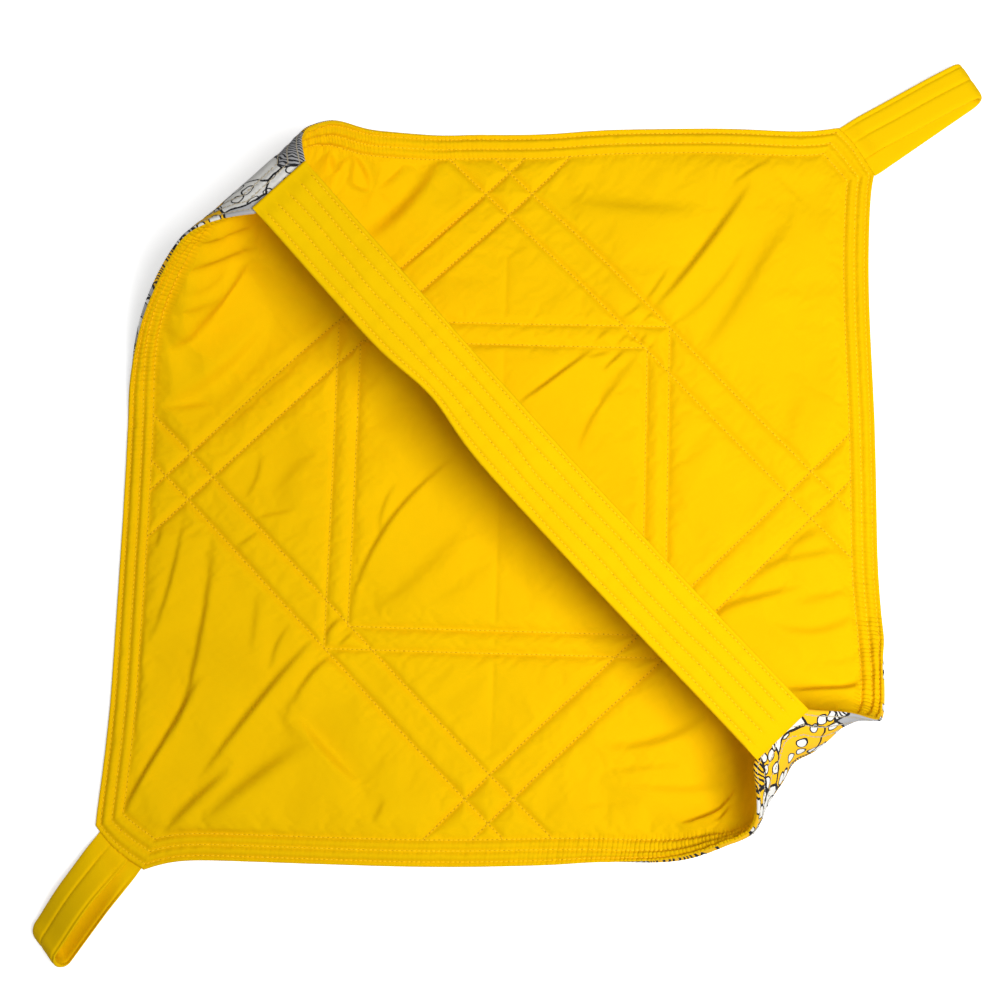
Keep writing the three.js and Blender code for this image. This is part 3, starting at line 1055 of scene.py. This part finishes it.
def strap_place(share, offset, face):
    """A place on the strap: a share of its length from the near seam, an offset across it, and its upper or
    lower face (+1 or -1). The strap bows sideways with a notch in its left edge, its rows wander, and it
    ripples a little between them."""
    start, end = np.array(near_seam), np.array(far_seam)
    run = (end - start) / np.linalg.norm(end - start)
    start, end = start - strap_tuck * run, end + strap_tuck * run
    middle = start + share[..., None] * (end - start)
    length = np.linalg.norm(end - start)
    aside = strap_bow * np.sin(np.pi * share) ** bow_power
    notch = notch_depth * np.exp(-(((share - notch_share) / notch_reach) ** 2))
    aside = aside + notch * (0.5 - offset / strap_width) ** 2
    wander = rumple(share * length, offset * wander_closer, wander_size, 13)
    wander = wander * (1 - (2 * offset / strap_width) ** 2)
    x = middle[..., 0] + offset + aside + row_wander * wander
    pressed = 1 - ease(np.minimum(share, 1 - share) * length, strap_tuck, strap_tuck + end_press)
    half = band_half(offset, strap_width, strap_thick, strap_rounding, strap_rows, strap_groove)
    half = half + face_ripple * rumple(share * length, offset * ripple_closer, ripple_size, 11)
    half = half + (end_half - half) * pressed
    wave = strap_wave * rumple(share * length, offset * strap_wave_closer, strap_wave_size, 12)
    wave = wave * np.sin(np.pi * share)
    return np.stack([x, middle[..., 1], middle[..., 2] + face * half + wave], axis=-1)


strap_cotton = cotton("strap_cotton", (0.88, 0.56, 0.0, 1), (0.82, 0.49, 0.0, 1))
lower_face_shift = 0.1


def band_piece(name, place, width, length, stations, columns):
    """A closed band of the yellow cotton. Its lower face has flat places of its own, so its weave differs."""
    shares, offsets = np.linspace(0, 1, stations), np.linspace(-0.5, 0.5, columns) * width
    share, offset = np.meshgrid(shares, offsets, indexing="ij")
    points = np.stack([place(share, offset, face) for face in (1, -1)]).reshape(-1, 3)
    flat = np.stack([offset.ravel(), share.ravel() * length], axis=-1)
    flat = np.concatenate([flat, flat + lower_face_shift])
    return quad_piece(name, points, band_quads(stations, columns), strap_cotton, flat)


strap_length = (far_seam - near_seam).length
strap = band_piece("strap_band", strap_place, strap_width, strap_length, strap_stations, strap_columns)
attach(strap, "strap")
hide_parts("strap_sleeve", "strap_interlining")

# The stitches lie on both faces, and the outermost ones are left out at each end. Their runs and normals come
# from the strap's surface around them.
strap_count = round(strap_length / stitch_pitch)
shares = (strap_tuck + (np.arange(strap_count) + 0.5) * stitch_pitch) / (strap_length + 2 * strap_tuck)
share, row = (part.ravel() for part in np.meshgrid(shares[2:-2], strap_rows))
share_probe, row_probe = 0.2 / strap_count, 3 * mm
middles, runs, ups = [], [], []
for face in (1, -1):
    runs.append(strap_place(share + share_probe, row, face) - strap_place(share - share_probe, row, face))
    aside = strap_place(share, row + row_probe, face) - strap_place(share, row - row_probe, face)
    middles.append(strap_place(share, row, face))
    ups.append(-face * np.cross(runs[-1], aside))
runs, ups = unit(np.concatenate(runs)), unit(np.concatenate(ups))
middles = np.concatenate(middles) + ups * strap_proud
# The strap's needle holes are dark squares too: partly the holes, partly painted shade of their dimples.
strap_thread = stitch_piece("strap_thread", middles, runs, ups, strap_proud, yellow_thread, needle_hole_shade)
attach(strap_thread, "strap")

# The loop handles
# Each is a narrow sleeve of the yellow cotton, folded lengthwise along two lines and doubled back, so that
# both its ends are caught side by side in the seam of a cut corner.
loop_thick, loop_rounding = 3.2 * mm, 0.3
loop_gap = 0.3 * mm
loop_tuck = 4 * mm
loop_stations, loop_columns = 161, 61

# A pressed end is a share of the full thickness, and swells over a length. The fold lines' groove fades by a
# rate round the bend, and the faces rumple as on a strip of that length.
pressed_share, swell_length = 0.35, 12 * mm
loop_groove, groove_fade = 1.1 * mm, 3.2
loop_rumple, loop_rumple_size, loop_rumple_closer = 0.3 * mm, 13 * mm, 0.5
loop_rumple_length = 0.16
share_step = 0.002


def loop_path(reach, bend, arch, share):
    """A strip's middle, by its share of the way round: straight out along the table, round a half circle,
    and back to the seam in a smooth S, arched in its middle. Gives the distance out from the seam, the
    height, how far it has turned from 0 to 1, and how far the strip has swelled from its pressed end."""
    straight = reach - bend - loop_thick / 2
    out = straight + loop_tuck
    gone = share * (2 * out + np.pi * bend)
    turn = np.clip((gone - out) / bend, 0, np.pi)
    back = np.maximum(0, gone - out - np.pi * bend)
    distance = np.where(gone < out, gone - loop_tuck, straight + bend * np.sin(turn) - back)
    swell = raised(pressed_share, ease(distance, 0, swell_length))
    low = swell * loop_thick / 2
    pressed = 3 * low + loop_gap
    fall = pressed + (low + 2 * bend - pressed) * ease(distance, 0, straight)
    fall = fall + arch * np.sin(np.pi * np.clip(distance / straight, 0, 1)) ** 2
    height = np.where(gone < out, low, np.where(back > 0, fall, low + bend - bend * np.cos(turn)))
    return distance, height, ease(turn, 0, np.pi), swell


def loop_placer(
    side, width, reach, bend, drift, spread, closing, folds, arch=0, shift=0, skew=0, twist=0, cup=0
):
    """The function that places a loop's points, and the middle of its cut corner. The strip is shifted along
    the seam, drifts sideways on its way out, and its end lies askew. Its two plies lie side by side at the
    seam and close up by a share towards the end, where the upper one twists and the lower one's edge cups
    upward."""
    straight = reach - bend - loop_thick / 2
    cut = np.array(side * seam_reach / root_two)
    root = drape(cut, cut, rim_height)
    stand = standing(cut, cut)

    def place(share, offset, face):
        """A place on the loop, by share of its length, offset across it, and outer or inner face."""
        distance, height, turned, swell = loop_path(reach, bend, arch, share)
        ahead, behind = (loop_path(reach, bend, arch, share + step) for step in (share_step, -share_step))
        along, climb = ahead[0] - behind[0], ahead[1] - behind[1]
        length = np.hypot(along, climb)
        gone = np.clip(distance / straight, 0, 1)
        across = 2 * offset / width
        swing = np.arctan(drift / reach) * np.clip(distance / width, 0, 1)
        apart = (1 - closing * gone) * spread / 2
        aside = shift + (2 * turned - 1) * apart - drift * distance / reach
        groove = loop_groove * (1 - groove_fade * turned * (1 - turned))
        half = swell * face * band_half(offset, width, loop_thick, loop_rounding, folds, groove)
        rumpled = rumple(share * loop_rumple_length, offset * loop_rumple_closer, loop_rumple_size, 21)
        half = half + loop_rumple * rumpled * ease(distance, 0, swell_length)
        out = distance + skew * offset * gone
        risen = ease(distance, 0, straight / 2)
        tipped = twist * across * turned + cup * np.maximum(0, across) ** 2 * (1 - turned)
        x = root[0] + side * out + offset * np.sin(swing) + side * climb / length * half
        y = root[1] + aside + side * offset * np.cos(swing)
        z = height - along / length * half + stand * (1 - risen) + tipped * risen
        return np.stack([x, y, z], axis=-1)

    return place, root


loops = {
    "right": {
        "side": 1, "width": 25.6 * mm, "reach": 80 * mm, "bend": 6 * mm, "drift": 17.4 * mm,
        "spread": 12.8 * mm, "closing": 0.82, "folds": np.array([0.2, 10.0]) * mm, "shift": -1.3 * mm,
    },
    "left": {
        "side": -1, "width": 24.2 * mm, "reach": 67.5 * mm, "bend": 5.5 * mm, "drift": 14.5 * mm,
        "spread": 9.5 * mm, "closing": 0.15, "folds": np.array([-2.5, 10.2]) * mm,
        "arch": 7 * mm, "skew": 0.17, "twist": 6.5 * mm, "cup": 8 * mm,
    },
}
for end, loop in loops.items():
    place, root = loop_placer(**loop)
    strip_length = 2 * (loop["reach"] - loop["bend"]) + np.pi * loop["bend"]
    band = band_piece(end + "_loop_band", place, loop["width"], strip_length, loop_stations, loop_columns)
    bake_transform(band)
    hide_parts(end + "_loop_sleeve", end + "_loop_interlining")

# The table, the light and the camera
# A white table top, an even white sky, and one large soft lamp from the near corner's side. The camera
# looks almost straight down, as in the photograph.
floor_size = 8.0
floor_drop = 0.4 * mm
floor_glow = 0.55
sky_light = 0.2


def seen_directly(tree):
    """1 where the camera, a gloss or glass sees the surface, and 0 where it only gives light."""
    path = tree.nodes.new("ShaderNodeLightPath")
    seen = math_node(tree, "MAXIMUM", path.outputs["Is Camera Ray"], path.outputs["Is Glossy Ray"])
    return math_node(tree, "MAXIMUM", seen, path.outputs["Is Transmission Ray"])


def white_table(name):
    """White paper that the lamp lights, lifted to clean white where it is seen."""
    material, tree, shader = new_material(
        name, Base_Color=(0.9, 0.9, 0.9, 1), Roughness=0.9, Specular_IOR_Level=0.0
    )
    strength = math_node(tree, "MULTIPLY", seen_directly(tree), floor_glow)
    glow = add_node(tree, "ShaderNodeEmission", Strength=strength)
    both = tree.nodes.new("ShaderNodeAddShader")
    tree.links.new(shader.outputs[0], both.inputs[0])
    tree.links.new(glow.outputs[0], both.inputs[1])
    tree.links.new(both.outputs[0], tree.nodes["Material Output"].inputs["Surface"])
    return material


edges = np.array([-0.5, 0.5]) * floor_size
across, up = np.meshgrid(edges, edges)
points = np.stack([across, up, np.full_like(across, -floor_drop)], axis=-1).reshape(-1, 3)
floor = quad_piece("table_top", points, np.array([[0, 1, 3, 2]]), white_table("white_table"))
floor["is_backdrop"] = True

sky = bpy.data.worlds.new("studio")
sky.use_nodes = True
bpy.context.scene.world = sky
tree = sky.node_tree
background = tree.nodes["Background"]
lift = math_node(tree, "MULTIPLY", seen_directly(tree), 1 - sky_light)
background.inputs["Color"].default_value = (1, 1, 1, 1)
tree.links.new(math_node(tree, "ADD", lift, sky_light), background.inputs["Strength"])

lamp_place = Vector((0.13, -0.46, 1.2))
lamp_target = Vector((0.27, -0.1, 0))
lamp_power = 8.4
lamp_size = 0.5
lamp_spread = np.radians(122)
lamp = bpy.data.objects.new("soft_lamp", bpy.data.lights.new("soft_lamp", "AREA"))
lamp.data.energy = lamp_power
lamp.data.size = lamp_size
lamp.location = lamp_place
lamp.data.spread = lamp_spread
lamp.rotation_euler = (lamp_target - lamp_place).to_track_quat("-Z", "Y").to_euler()
bpy.context.scene.collection.objects.link(lamp)

camera_eye = Vector((-87.2, -123.2, 963.5)) * mm
photo_back = Vector((-0.084009, -0.119932, 0.989221))
photo_up = Vector((0.678426, 0.72023, 0.144935))
camera = bpy.data.objects.new("camera", bpy.data.cameras.new("camera"))
camera.data.lens = 57.6
camera.data.sensor_width = 36
camera.data.clip_start = 0.01
photo_right = photo_up.cross(photo_back)
turn = Matrix((photo_right, photo_up, photo_back)).transposed().to_4x4()
camera.matrix_world = Matrix.Translation(camera_eye) @ turn
bpy.context.scene.collection.objects.link(camera)
bpy.context.scene.camera = camera
bpy.context.scene.view_settings.view_transform = "Standard"

visual_box = [list(corner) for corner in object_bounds()]
